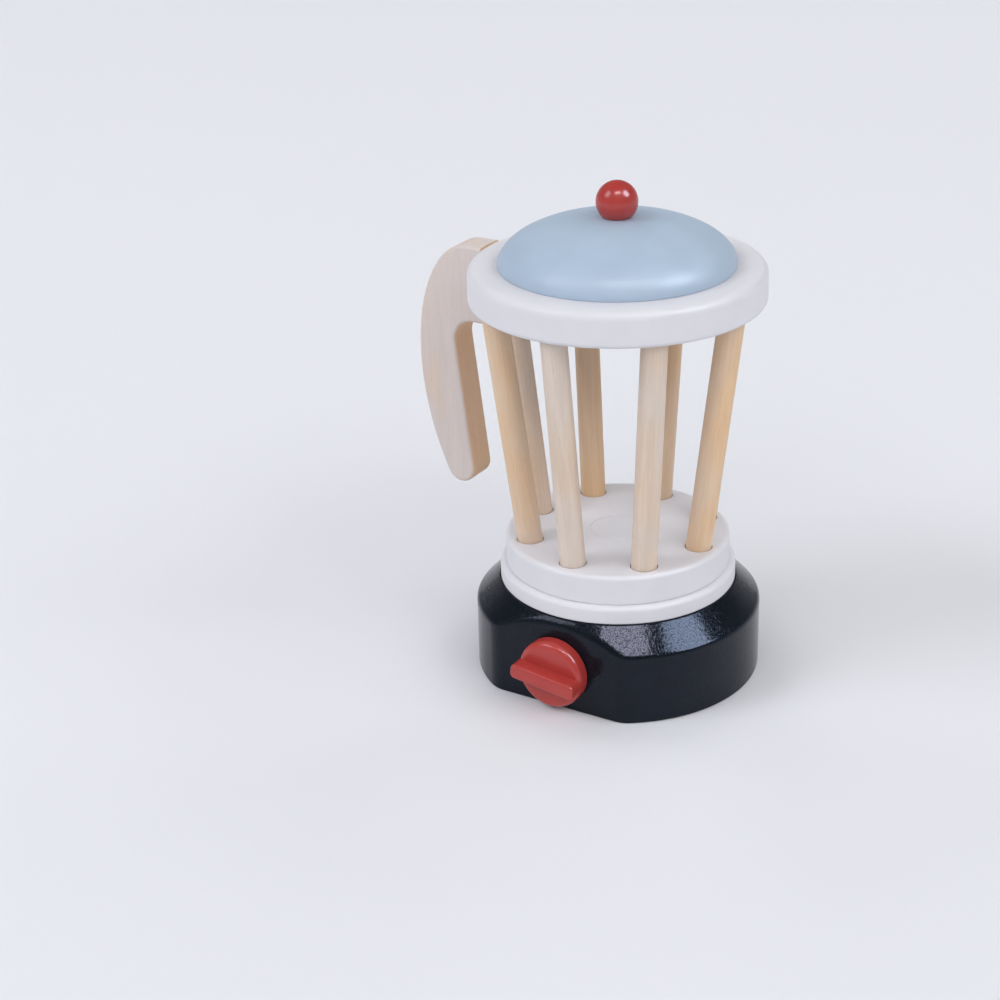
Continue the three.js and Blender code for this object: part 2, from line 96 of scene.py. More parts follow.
def rounded(corners, steps=7):
    """A path through (x, y) or (x, y, radius) corners, each with a radius rounded by an arc.

    One more point lies beyond either end of the arc and keeps its shading off the flat face there."""
    path = []
    points = [Vector(corner[:2]) for corner in corners]
    for i, here in enumerate(points):
        radius = corners[i][2] if len(corners[i]) > 2 else 0.0
        if not radius:
            path.append(tuple(here))
            continue
        back = (points[i - 1] - here).normalized()
        ahead = (points[(i + 1) % len(points)] - here).normalized()
        half = back.angle(ahead) / 2
        reach = radius / math.tan(half)
        centre = here + (back + ahead).normalized() * radius / math.sin(half)
        start, end = here + back * reach - centre, here + ahead * reach - centre
        a, b = math.atan2(start.y, start.x), math.atan2(end.y, end.x)
        turn = (b - a + math.pi) % TAU - math.pi
        path.append(tuple(here + back * (reach + HOLD)))
        path += arc(centre.x, centre.y, radius, a, a + turn, steps)
        path.append(tuple(here + ahead * (reach + HOLD)))
    return path


def as_mesh(name, verts, faces):
    """A mesh in metres from points in millimetres."""
    mesh = bpy.data.meshes.new(name)
    mesh.from_pydata([tuple(c * MM for c in v) for v in verts], [], faces)
    mesh.validate()
    mesh.update()
    return mesh


def turned(name, path, sides=160, closed=False, angles=None, bend=None):
    """A body turned about Z from a path of (radius, height), whose points the bend may move."""
    angles = angles or [TAU * i / sides for i in range(sides)]
    count = len(angles)
    verts, rings = [], []
    for r, z in path:
        # A point on the axis is made only once
        if r < 1e-6:
            rings.append([len(verts)] * count)
            verts.append((0.0, 0.0, z))
            continue
        rings.append(list(range(len(verts), len(verts) + count)))
        for a in angles:
            point = (r * math.cos(a), r * math.sin(a), z)
            verts.append(bend(*point) if bend else point)
    faces = []
    for k in range(len(rings) if closed else len(rings) - 1):
        low, high = rings[k], rings[(k + 1) % len(rings)]
        for i in range(count):
            j = (i + 1) % count
            quad = [low[i], low[j], high[j], high[i]]
            face = [v for n, v in enumerate(quad) if v != quad[n - 1]]
            if len(face) > 2:
                faces.append(face)
    return as_mesh(name, verts, faces)


def board(name, outline, low, high, ease=0.0, steps=5, ease_low=True):
    """A flat board of an outline that runs anticlockwise, its edges rounded by the ease."""
    count = len(outline)
    points = [Vector(p) for p in outline]
    miters = []
    for i in range(count):
        before = (points[i] - points[i - 1]).normalized()
        after = (points[(i + 1) % count] - points[i]).normalized()
        n1, n2 = Vector((before.y, -before.x)), Vector((after.y, -after.x))
        miters.append((n1 + n2) / (1 + n1.dot(n2)))
    turns = [QUARTER * i / steps for i in range(steps + 1)]
    levels = [(low, 0.0)]
    if ease and ease_low:
        levels = [(low, ease + HOLD)]
        levels += [(low + ease * (1 - math.cos(a)), ease * (1 - math.sin(a))) for a in turns]
        levels.append((low + ease + HOLD, 0.0))
    if ease:
        levels.append((high - ease - HOLD, 0.0))
        levels += [(high - ease * (1 - math.sin(a)), ease * (1 - math.cos(a))) for a in turns]
        levels.append((high, ease + HOLD))
    else:
        levels.append((high, 0.0))
    verts = []
    for z, inset in levels:
        for p, m in zip(points, miters):
            q = p - m * inset
            verts.append((q.x, q.y, z))
    faces = [list(range(count))[::-1]]
    for k in range(len(levels) - 1):
        for i in range(count):
            j = (i + 1) % count
            faces.append([k * count + i, k * count + j, (k + 1) * count + j, (k + 1) * count + i])
    faces.append([(len(levels) - 1) * count + i for i in range(count)])
    return as_mesh(name, verts, faces)


def rectangle(width, length, corner, middle_y=0.0):
    """The outline of a rectangle with rounded corners."""
    x, y = width / 2, length / 2
    corners = [(-x, -y, corner), (x, -y, corner), (x, y, corner), (-x, y, corner)]
    return [(px, py + middle_y) for px, py in rounded(corners, steps=8)]


def cylinder(radius, low, high, sides=48):
    """A round tool for cutting."""
    return turned("cutter", [(0, low), (radius, low), (radius, high), (0, high)], sides)


def place(mesh, matrix):
    mesh.transform(matrix)
    return mesh


def move(x=0.0, y=0.0, z=0.0):
    return Matrix.Translation(Vector((x, y, z)) * MM)


def spin(degrees, axis):
    return Matrix.Rotation(math.radians(degrees), 4, axis)


def weld(mesh):
    """Joins the points that a cut leaves almost on each other, and drops the faces between them."""
    work = bmesh.new()
    work.from_mesh(mesh)
    bmesh.ops.remove_doubles(work, verts=work.verts, dist=WELD * MM)
    bmesh.ops.dissolve_degenerate(work, edges=work.edges, dist=WELD * MM)
    work.to_mesh(mesh)
    work.free()


def boolean(mesh, tools, operation="DIFFERENCE"):
    """The mesh with each tool cut away from it, or joined to it."""
    piece = bpy.data.objects.new("work", mesh)
    bpy.context.scene.collection.objects.link(piece)
    helpers = []
    for tool in tools:
        helper = bpy.data.objects.new("tool", tool)
        bpy.context.scene.collection.objects.link(helper)
        helpers.append(helper)
        modifier = piece.modifiers.new("cut", "BOOLEAN")
        modifier.operation = operation
        modifier.solver = "EXACT"
        modifier.object = helper
    graph = bpy.context.evaluated_depsgraph_get()
    made = bpy.data.meshes.new_from_object(piece.evaluated_get(graph))
    for helper in helpers:
        data = helper.data
        bpy.data.objects.remove(helper)
        bpy.data.meshes.remove(data)
    bpy.data.objects.remove(piece)
    bpy.data.meshes.remove(mesh)
    weld(made)
    return made


def add(name, mesh, material, body, nodes, matrix=None, sharp=32, shift=0.0, pale=0.5):
    """Puts a finished mesh in the scene as one piece that rides on a body and stands for CAD nodes.

    Edges sharper than that many degrees stay sharp. The shift, in metres, and the paleness set its grain; on
    the rods the paleness is partly painted light."""
    mesh.name = name
    mesh.materials.clear()
    mesh.materials.append(material)
    mesh.shade_smooth()
    mesh.set_sharp_from_angle(angle=math.radians(sharp))
    store = mesh.attributes.new("grain_shift", "FLOAT_VECTOR", "POINT")
    store.data.foreach_set("vector", [shift, shift * 0.37, shift * 2.1] * len(mesh.vertices))
    store = mesh.attributes.new("paleness_and_painted_light", "FLOAT", "POINT")
    store.data.foreach_set("value", [pale] * len(mesh.vertices))
    piece = bpy.data.objects.new(name, mesh)
    bpy.context.scene.collection.objects.link(piece)
    if matrix is not None:
        piece.matrix_world = matrix
    even = piece.modifiers.new("even_shading", "WEIGHTED_NORMAL")
    even.keep_sharp = True
    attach(piece, body)
    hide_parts(*nodes)


# Materials

def linear(red, green, blue):
    """The colour that a picture shows as these levels from 0 to 255."""
    def one(value):
        value /= 255
        return value / 12.92 if value <= 0.04045 else ((value + 0.055) / 1.055) ** 2.4
    return (one(red), one(green), one(blue), 1.0)


def shade(colour, factor):
    return tuple(min(1.0, c * factor) for c in colour[:3]) + (1.0,)


class Look:
    """A node material with a few short ways to add nodes."""

    def __init__(self, name, roughness, metallic=0.0):
        self.material = bpy.data.materials.new(name)
        self.material.use_nodes = True
        self.tree = self.material.node_tree
        self.shader = self.tree.nodes["Principled BSDF"]
        self.shader.inputs["Roughness"].default_value = roughness
        self.shader.inputs["Metallic"].default_value = metallic
        coordinates = self.node("ShaderNodeTexCoord")
        self.space, self.normal = coordinates.outputs["Object"], coordinates.outputs["Normal"]

    def feed(self, socket, value):
        """Links a socket to another node's output, or gives it a constant."""
        if isinstance(value, bpy.types.NodeSocket):
            self.tree.links.new(value, socket)
        else:
            socket.default_value = value

    def node(self, kind, inputs=None, **settings):
        made = self.tree.nodes.new(kind)
        for key, value in settings.items():
            setattr(made, key, value)
        for key, value in (inputs or {}).items():
            self.feed(made.inputs[key], value)
        return made

    def attribute(self, name):
        return self.node("ShaderNodeAttribute", attribute_name=name).outputs

    def shifted(self):
        """Coordinates that differ from piece to piece, so that no two have the same grain."""
        both = {0: self.space, 1: self.attribute("grain_shift")["Vector"]}
        self.space = self.node("ShaderNodeVectorMath", both, operation="ADD").outputs["Vector"]

    def noise(self, size, stretch=(1, 1, 1), detail=2.0, rough=0.5, warp=0.0):
        """Noise of about that size in millimetres, drawn out by the stretch."""
        scale = [1 / s for s in stretch]
        at = self.node("ShaderNodeMapping", {"Vector": self.space, "Scale": scale}).outputs["Vector"]
        return self.node("ShaderNodeTexNoise", {
            "Vector": at, "Scale": 1000 / size, "Detail": detail, "Roughness": rough, "Distortion": warp,
        }).outputs["Fac"]

    def remap(self, value, low, high, to_low=0.0, to_high=1.0):
        return self.node("ShaderNodeMapRange", {
            "Value": value, "From Min": low, "From Max": high, "To Min": to_low, "To Max": to_high,
        }, interpolation_type="SMOOTHSTEP").outputs["Result"]

    def mix(self, factor, a, b, blend="MIX"):
        """A mix of two colours. The node has more sockets of the same names, for other kinds of value."""
        made = self.node("ShaderNodeMix", data_type="RGBA", blend_type=blend)
        for name, kind, value in (("Factor", "VALUE", factor), ("A", "RGBA", a), ("B", "RGBA", b)):
            self.feed(next(s for s in made.inputs if s.name == name and s.type == kind), value)
        return next(s for s in made.outputs if s.type == "RGBA")

    def math(self, operation, a, b):
        return self.node("ShaderNodeMath", {0: a, 1: b}, operation=operation).outputs["Value"]

    def bump(self, height, depth, below=None):
        """A bump of that depth in millimetres, on top of the one below."""
        inputs = {"Height": height, "Distance": depth * MM, "Strength": 1.0}
        if below is not None:
            inputs["Normal"] = below
        return self.node("ShaderNodeBump", inputs).outputs["Normal"]

    def link(self, value, socket):
        self.tree.links.new(value, self.shader.inputs[socket])


def paint(name, colour, roughness, peel, peel_depth, mottle, grain=0.0):
    """Sprayed paint on wood: orange peel, slow waves, a trace of the grain and slightly uneven colour."""
    look = Look(name, roughness)
    cloud = look.remap(look.noise(14, detail=3), 0.3, 0.7)
    look.link(look.mix(cloud, shade(colour, 1 - mottle), shade(colour, 1 + mottle)), "Base Color")
    look.link(look.remap(cloud, 0, 1, roughness - 0.03, roughness + 0.04), "Roughness")
    normal = look.bump(look.noise(9, detail=1), 0.02)
    if grain:
        normal = look.bump(look.noise(0.9, (1, 1, 14), detail=2), grain, normal)
    look.link(look.bump(look.noise(peel, detail=1.5), peel_depth, normal), "Normal")
    return look.material


def gloss_paint(name, colour):
    """Thick gloss paint on the base: a grainy skin that breaks a reflection into glints."""
    look = Look(name, 0.14)
    look.shader.inputs["IOR"].default_value = 1.34
    look.shader.inputs["Specular Tint"].default_value = (0.78, 0.82, 1.0, 1.0)
    cloud = look.remap(look.noise(18, detail=3), 0.3, 0.7)
    skin = look.noise(1.7, detail=1.5)
    pits = look.remap(look.noise(0.62, detail=0.5), 0.55, 0.69)
    look.link(look.mix(cloud, shade(colour, 0.86), shade(colour, 1.14)), "Base Color")
    look.link(look.remap(skin, 0.35, 0.65, 0.09, 0.15), "Roughness")
    normal = look.bump(look.noise(11, detail=1), 0.05)
    normal = look.bump(skin, 0.07, normal)
    look.link(look.bump(pits, -0.026, normal), "Normal")
    return look.material


def bare_wood(name, pale, honey, sawn_and_edge_shade=False):
    """Fine-grained pale wood, its grain along the piece's own Z. Each piece has a paleness of its own, which
    on the rods is partly painted light.

    Sawn board is nearer to honey on its edges that face sideways or down: partly the darker grain of a sawn
    edge, partly painted shade on edges turned away from the light."""
    roughness = 0.55
    look = Look(name, roughness)
    look.shifted()
    bands = look.noise(6, (1, 1, 12), detail=3, rough=0.6, warp=0.8)
    fibres = look.noise(0.6, (1, 1, 42), detail=3, rough=0.6)
    cloud = look.noise(20, (1, 1, 2.5), detail=2)
    pores = look.remap(look.noise(0.5, (1, 1, 8), detail=1.5), 0.66, 0.76)
    # The piece's paleness, partly painted light on the rods, with slow random tone on top
    own = look.math("ADD", look.attribute("paleness_and_painted_light")["Fac"], look.remap(cloud, 0.3, 0.7, -0.26, 0.26))
    # Painted shade, partly sawn grain: edges that face sideways or down are drawn towards honey
    if sawn_and_edge_shade:
        facing = look.node("ShaderNodeSeparateXYZ", {"Vector": look.normal}).outputs
        under = look.math("MINIMUM", facing["Z"], 0.0)
        sideways = look.math("MULTIPLY", facing["X"], facing["X"])
        edge = look.math("ADD", sideways, look.math("MULTIPLY", under, under))
        own = look.math("MULTIPLY", own, look.remap(edge, 0.25, 0.8, 1.0, 0.2))
    tone = look.math("ADD", look.math("MULTIPLY", bands, 0.5), look.math("MULTIPLY", fibres, 0.5))
    streak = look.remap(tone, 0.36, 0.64, 0.95 if sawn_and_edge_shade else 0.91, 1.02)
    streaks = look.node("ShaderNodeCombineColor", {"Red": streak, "Green": streak, "Blue": streak})
    colour = look.mix(1.0, look.mix(own, honey, pale), streaks.outputs["Color"], "MULTIPLY")
    colour = look.mix(look.math("MULTIPLY", pores, 0.26), colour, shade(honey, 0.6))
    look.link(colour, "Base Color")
    look.link(look.remap(fibres, 0.3, 0.7, roughness - 0.06, roughness + 0.08), "Roughness")
    look.link(look.bump(pores, -0.02, look.bump(fibres, 0.015)), "Normal")
    return look.material


def fibre_board(name, colour):
    """Pressed board with small specks."""
    look = Look(name, 0.72)
    specks = look.noise(0.8, detail=3, rough=0.7)
    cloud = look.noise(11, detail=2)
    tone = look.math("ADD", look.math("MULTIPLY", specks, 0.6), look.math("MULTIPLY", cloud, 0.4))
    look.link(look.mix(look.remap(tone, 0.35, 0.65), shade(colour, 0.82), shade(colour, 1.1)), "Base Color")
    look.link(look.bump(specks, 0.03), "Normal")
    return look.material


def plated_steel(name):
    """Zinc with a slightly uneven sheen."""
    look = Look(name, 0.32, 1.0)
    cloud = look.noise(1.6, detail=3)
    look.link(look.mix(cloud, linear(178, 182, 190), linear(205, 207, 210)), "Base Color")
    look.link(look.remap(cloud, 0.3, 0.7, 0.26, 0.42), "Roughness")
    look.link(look.bump(look.noise(0.4, detail=2), 0.006), "Normal")
    return look.material


def floor_look():
    """The pale surface that the toy stands on."""
    look = Look("pale_floor", 0.75)
    look.shader.inputs["Specular IOR Level"].default_value = 0.2
    cloud = look.noise(900, detail=2)
    look.link(look.mix(cloud, linear(223, 224, 229), linear(226, 227, 232)), "Base Color")
    return look.material


WHITE = paint("white_paint", linear(217, 216, 221), 0.46, peel=1.3, peel_depth=0.02, mottle=0.012, grain=0.01)
BLUE = paint("blue_paint", linear(169, 187, 206), 0.4, peel=1.2, peel_depth=0.02, mottle=0.02, grain=0.01)
RED = paint("red_paint", linear(171, 59, 54), 0.2, peel=1.6, peel_depth=0.018, mottle=0.04)
BLACK = gloss_paint("black_paint", linear(16, 21, 28))
WOOD = bare_wood("pale_wood", linear(218, 203, 190), linear(225, 187, 144))
BOARD_WOOD = bare_wood("handle_wood", linear(209, 198, 193), linear(222, 183, 143), sawn_and_edge_shade=True)
BOARD = fibre_board("fibre_board", linear(186, 152, 112))
STEEL = plated_steel("plated_steel")


# Screws

def screw_shape(length, gap=0.0):
    """The profile of a countersunk screw, head up and sunk below z = 0, or of its hole with a gap."""
    cone = SCREW_HEAD - SCREW_R
    foot, shank, head = -length - gap, SCREW_R + gap, SCREW_HEAD + gap
    path = [(0, foot), (shank, foot), (shank, -cone - SCREW_SINK), (head, -SCREW_SINK)]
    if gap:
        return path + [(head, PAST), (0, PAST)]
    return path + [(0, -SCREW_SINK)]


def screw_hole(length, x, y, z=0.0):
    """The tool for a screw that is driven upwards from that place."""
    return place(turned("cutter", screw_shape(length, FIT), sides=40), move(x, y, z) @ spin(180, "X"))


def cross_head_screw(name, length):
    """A countersunk screw with a cross recess."""
    shank = turned(name, screw_shape(length), sides=48)
    x, y = RECESS_REACH, RECESS_HALF_W
    arm = [(-x, -y), (x, -y), (x, y), (-x, y)]
    arms = [place(board("cutter", arm, -RECESS_DEPTH, PAST), spin(turn, "Z")) for turn in (0, 90)]
    return boolean(shank, arms)


# Base

def cover_screw_holes():
    return [screw_hole(COVER_SCREW_LONG, x, y) for x, y in COVER_SCREWS]


def ease_flat(x, y, z):
    """The front of the turned base is planed to a flat, its edges softened by the paint."""
    foot = max(0.0, FLAT_FOOT - z)
    limit = FLAT - (FLAT_FOOT - math.sqrt(max(0.0, FLAT_FOOT * FLAT_FOOT - foot * foot)))
    reach = -y
    near = max(FLAT_EASE - abs(reach - limit), 0.0) / FLAT_EASE
    return (x, -(min(reach, limit) - near * near * FLAT_EASE / 4), z)


def base_profile():
    """Half of the base's section. Its chamfer has rows of points for the flat's curved edge."""
    foot_edge, top_edge, rows, last_row_drop = 1.0, 0.5, 30, 0.4
    wall_top = BASE_H - CHAMFER
    path = rounded([(0, 0), (BASE_R, 0, foot_edge), (BASE_R, wall_top / 2)])
    reach = SHOULDER_ROUND * math.tan(QUARTER / 4)
    path += arc(BASE_R - SHOULDER_ROUND, wall_top - reach, SHOULDER_ROUND, 0, QUARTER / 2, 8)
    start = path[-1]
    rise = BASE_H - last_row_drop - start[1]
    path += [(start[0] - rise * i / rows, start[1] + rise * i / rows) for i in range(1, rows)]
    return path + rounded([start, (BASE_R - CHAMFER, BASE_H, top_edge), (0, BASE_H)], steps=4)[1:]


def base_piece():
    """The turned block with its flat and its holes. Its points are closer together on the flat's side."""
    close = [math.radians(-90 + half_degrees / 2) for half_degrees in range(-68, 69)]
    wide = [math.radians(degrees) for degrees in range(-54, 235, 2)]
    body = turned("base", base_profile(), angles=close + wide, bend=ease_flat)
    pocket = rectangle(POCKET_W, POCKET_L, POCKET_CORNER, POCKET_MIDDLE)
    recess = rectangle(COVER_W, COVER_L, COVER_CORNER, POCKET_MIDDLE)
    axle_hole = cylinder(AXLE_R + FIT, -WALL - PAST, PAST)
    cutters = [
        board("cutter", pocket, -PAST, POCKET_TOP),
        board("cutter", recess, -PAST, COVER_T),
        cylinder(PEG_R + FIT, BASE_H - PEG_REACH - FIT, BASE_H + PAST, sides=96),
        place(axle_hole, move(0, -FLAT, KNOB_Z) @ spin(90, "X")),
    ]
    return boolean(body, cutters + cover_screw_holes())


def cover_piece():
    """The thin board that closes the base from below."""
    outline = rectangle(COVER_W - 2 * FIT, COVER_L - 2 * FIT, COVER_CORNER - FIT, POCKET_MIDDLE)
    return boolean(board("cover", outline, 0, COVER_T, ease=0.25, steps=2), cover_screw_holes())


add("base_painted", base_piece(), BLACK, "base", ["base_block"], sharp=28)
add("cover_board", cover_piece(), BOARD, "base", ["bottom_cover"])
screw_mesh = cross_head_screw("cover_screw", COVER_SCREW_LONG)
for number, (x, y) in enumerate(COVER_SCREWS, 1):
    add(f"cover_screw_{number}_cut", screw_mesh.copy(), STEEL, "base", [f"cover_screw_{number}"],
        move(x, y, 0) @ spin(180, "X") @ spin(37 * number, "Z"))


# Knob

def knob_piece():
    """The disc and its grip, which is narrower and prouder than in the solid, as the photo shows it."""
    back, front = FIT, FIT + KNOB_T
    back_edge, front_edge = 0.6, 2.5
    path = [(0, back), (KNOB_R, back, back_edge), (KNOB_R, front, front_edge), (0, front)]
    disc = turned("knob", rounded(path), sides=128)
    outline = rectangle(KNOB_R * 2, GRIP_W, GRIP_CORNER)
    bar = board("bar", outline, back + KNOB_T / 2, back + KNOB_REACH, GRIP_EASE, steps=6, ease_low=False)
    whole = boolean(disc, [place(bar, spin(-GRIP_TILT, "Z"))], "UNION")
    return boolean(whole, [cylinder(AXLE_R + FIT, back - PAST, back + AXLE_SEAT + FIT)])


knob_place = move(0, -FLAT, KNOB_Z) @ spin(90, "X")
add("knob_painted", knob_piece(), RED, "knob", ["speed_knob"], knob_place, sharp=40)


# Jug

def rod_matrix(i):
    """The place of a rod, whose own Z runs up its leaning axis from the top of the jug's floor."""
    around = Matrix.Rotation(math.pi + i * TAU / ROD_COUNT, 4, "Z")
    return around @ move(ROD_FOOT, 0, FLOOR_TOP) @ Matrix.Rotation(LEAN, 4, "Y")


def rod_holes():
    low, high = -FOOT_SEAT - FIT, ROD_LONG + HEAD_SEAT + FIT
    return [place(cylinder(ROD_R + ROD_GAP, low, high, sides=72), rod_matrix(i)) for i in range(ROD_COUNT)]


def collar_screw_places():
    angles = [(i + 0.25) * TAU / 3 for i in range(3)]
    return [(COLLAR_SCREW_CIRCLE * math.cos(a), COLLAR_SCREW_CIRCLE * math.sin(a)) for a in angles]


def collar_screw_holes():
    return [screw_hole(COLLAR_SCREW_LONG, x, y, BASE_H) for x, y in collar_screw_places()]


def dowel_hole():
    """The tool for the dowel that joins the handle to the rim."""
    hole = cylinder(DOWEL_R + FIT, RIM_R - DOWEL_IN_RIM - FIT, RIM_R + DOWEL_IN_HANDLE + FIT)
    return place(hole, move(0, 0, RIM_TOP - DOWEL_DROP) @ spin(-90, "Y"))


def collar_piece():
    """The wider disc under the floor."""
    low, high = BASE_H, BASE_H + COLLAR_H
    foot_edge, top_edge = 0.8, 2.2
    path = [(0, low), (COLLAR_R, low, foot_edge), (COLLAR_R, high, top_edge), (0, high)]
    disc = turned("collar", rounded(path), sides=192)
    peg_hole = cylinder(PEG_R + FIT, low - PAST, high + PAST, sides=96)
    return boolean(disc, [peg_hole] + collar_screw_holes())


def floor_piece():
    """The disc that the rods stand in."""
    low, high = BASE_H + COLLAR_H, FLOOR_TOP
    foot_edge, top_edge = 0.5, 2.0
    path = [(0, low), (FLOOR_R, low, foot_edge), (FLOOR_R, high, top_edge), (0, high)]
    disc = turned("floor", rounded(path), sides=192)
    peg_hole = cylinder(PEG_R + PEG_GAP, low - PAST, high + PAST, sides=96)
    return boolean(disc, [peg_hole] + rod_holes() + collar_screw_holes())


def peg_piece():
    """The dowel that goes down through floor and collar into the base."""
    low, top_edge = BASE_H - PEG_REACH, 0.25
    path = [(0, low), (PEG_R - PEG_CHAMFER, low), (PEG_R, low + PEG_CHAMFER), (PEG_R, FLOOR_TOP, top_edge),
            (0, FLOOR_TOP)]
    return turned("peg", rounded(path), sides=96)


def rim_piece():
    """The thick ring on top of the rods."""
    bore_edge, foot_edge, top_edge = 1.5, 2.0, 3.5
    path = [(RIM_BORE, RIM_FOOT, bore_edge), (RIM_R, RIM_FOOT, foot_edge), (RIM_R, RIM_TOP, top_edge),
            (RIM_BORE, RIM_TOP, bore_edge)]
    ring = turned("rim", rounded(path), sides=216, closed=True)
    return boolean(ring, rod_holes() + [dowel_hole()])


def handle_outline():
    """The crescent's side view: x is the distance from the jug's axis and y the height."""
    top = RIM_TOP - HANDLE_SINK
    widest = top - HANDLE_DROP
    gap_top = RIM_TOP - GAP_DROP
    back, shoulder, seat = RIM_R + BACK_OUT, RIM_R + SHOULDER_OUT, RIM_R - HANDLE_SEAT
    sin, cos = math.sin(LEAN), math.cos(LEAN)

    def inner(height):
        """The side towards the rods, which is parallel to them."""
        return ROD_FOOT + ROD_R / cos + FINGER_GAP + (height - FLOOR_TOP) * math.tan(LEAN)

    # The round tip touches the inner side and the arc of the back
    cx = back - BACK_R
    reach = BACK_R - TIP_R
    ex, ey = inner(widest) + TIP_R * cos - cx, -TIP_R * sin
    along = ex * sin + ey * cos
    down = -along - math.sqrt(along * along - ex * ex - ey * ey + reach * reach)
    tx, ty = ex + down * sin, ey + down * cos
    end = math.atan2(ty, tx)

    path = [(seat, gap_top), (seat, top)]
    turns = [QUARTER * (1 - i / 30) for i in range(31)]
    path += [(shoulder + (back - shoulder) * math.cos(a), widest + HANDLE_DROP * math.sin(a)) for a in turns]
    path += arc(cx, widest, BACK_R, 0, end, 30)[1:]
    path += arc(cx + tx, widest + ty, TIP_R, end, -math.pi - LEAN, 20)[1:]
    corner_y = gap_top - GAP_CORNER
    path += arc(inner(corner_y) - GAP_CORNER / cos, corner_y, GAP_CORNER, -LEAN, QUARTER, 16)
    return path[::-1]


def handle_piece():
    """The crescent board, its end hollowed to fit the rim's side."""
    body = board("handle", handle_outline(), -HANDLE_T / 2, HANDLE_T / 2, HANDLE_EASE, steps=6)
    body = place(body, spin(180, "Z") @ spin(90, "X"))
    return boolean(body, [cylinder(RIM_R + FIT, 0, RIM_TOP + PAST, sides=216), dowel_hole()])


def rod_piece(i, matrix):
    """A rod along its own Z. The handle's dowel goes through the head of the first."""
    foot, head, edge = -FOOT_SEAT, ROD_LONG + HEAD_SEAT, 0.4
    path = [(0, foot), (ROD_R, foot, edge), (ROD_R, head, edge), (0, head)]
    rod = turned("rod", rounded(path, steps=3), sides=64)
    if i == 0:
        rod = boolean(rod, [place(dowel_hole(), matrix.inverted())])
    return rod


add("collar_painted", collar_piece(), WHITE, "jug", ["jug_collar"])
add("floor_painted", floor_piece(), WHITE, "jug", ["jug_floor"])
add("peg_painted", peg_piece(), WHITE, "jug", ["jug_peg"])
add("rim_painted", rim_piece(), WHITE, "jug", ["jug_rim"])
add("handle_wood", handle_piece(), BOARD_WOOD, "jug", ["handle"], shift=0.31, pale=1.0)
screw_mesh = cross_head_screw("collar_screw", COLLAR_SCREW_LONG)
for i, (x, y) in enumerate(collar_screw_places()):
    add(f"collar_screw_{i + 1}_cut", screw_mesh.copy(), STEEL, "jug", [f"collar_screw_{i + 1}"],
        move(x, y, BASE_H) @ spin(180, "X") @ spin(51 * i, "Z"))
# Each rod's paleness: partly its own tone, partly painted light, paler at the front where light falls, nearer
# to honey at the back in shade
for i, pale in enumerate((0.55, 0.45, 0.95, 0.9, 0.35, 0.4, 0.3, 0.1)):
    matrix = rod_matrix(i) @ spin(67 * i, "Z")
    add(f"rod_{i + 1}_wood", rod_piece(i, matrix), WOOD, "jug", [f"jug_rod_{i + 1}"], matrix,
        shift=0.053 * (i + 1), pale=pale)


# Lid

def dome_piece():
    """A quarter of an ellipse, turned, over a small rounded foot."""
    height = DOME_RISE - DOME_FOOT
    turns = [QUARTER * i / 44 for i in range(1, 44)]
    path = rounded([(0, 0), (DOME_R, 0, DOME_FOOT), (DOME_R, 2 * DOME_FOOT)], steps=4)[:-2]
    path += [(DOME_R * math.cos(a), DOME_FOOT + height * math.sin(a)) for a in turns] + [(0, DOME_RISE)]
    body = turned("dome", [(r, z + RIM_TOP) for r, z in path], sides=192)
    return boolean(body, [cylinder(PIN_R + FIT, RIM_TOP - PAST, RIM_TOP + DOME_RISE + PAST)])


def plug_piece():
    """The disc under the dome that keeps the lid in the rim's bore."""
    radius, low, foot_edge = RIM_BORE - PLUG_GAP, RIM_TOP - PLUG_DEPTH, 1.0
    path = [(0, low), (radius, low, foot_edge), (radius, RIM_TOP), (0, RIM_TOP)]
    body = turned("plug", rounded(path), sides=160)
    return boolean(body, [cylinder(PIN_R + FIT, RIM_TOP - PIN_IN_PLUG - FIT, RIM_TOP + PAST)])


def ball_piece():
    """A ball with a flat foot on top of the dome."""
    seat = RIM_TOP + DOME_RISE
    low = -math.asin(BALL_SEAT / BALL_R)
    side = arc(0, seat + BALL_SEAT, BALL_R, low, QUARTER, 40)[:-1]
    body = turned("ball", [(0, seat)] + side + [(0, seat + BALL_SEAT + BALL_R)], sides=96)
    return boolean(body, [cylinder(PIN_R + FIT, seat - PAST, seat + PIN_IN_BALL + FIT)])


add("dome_painted", dome_piece(), BLUE, "lid", ["lid_dome"])
add("plug_painted", plug_piece(), BLUE, "lid", ["lid_plug"])
add("ball_painted", ball_piece(), RED, "lid", ["lid_knob"])


# Carried-over CAD nodes, all inside the toy

for node, material in {
    "click_leaf": STEEL, "click_leaf_screw": STEEL, "axle_washer": STEEL, "axle_screw": STEEL,
    "knob_axle": WOOD, "click_wheel": BOARD, "handle_dowel": WOOD, "lid_knob_pin": WOOD,
}.items():
    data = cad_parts[node].data
    data.materials.clear()
    data.materials.append(material)


# Stage, a square that reaches 60 m each way

STAGE = 60000
corners = [(-STAGE, -STAGE, 0), (STAGE, -STAGE, 0), (STAGE, STAGE, 0), (-STAGE, STAGE, 0)]
floor = bpy.data.objects.new("floor", as_mesh("floor", corners, [[0, 1, 2, 3]]))
floor.data.materials.append(floor_look())
bpy.context.scene.collection.objects.link(floor)


# Light, in metres, and in degrees with the camera's azimuth from the knob's side towards +X

LAMP_DISTANCE = 14.0
TOY_MIDDLE = Vector((0, 0, 0.1))
CAMERA_TURN = 28.8
FILL_ELEVATION, FILL_HEIGHT = 41, 26


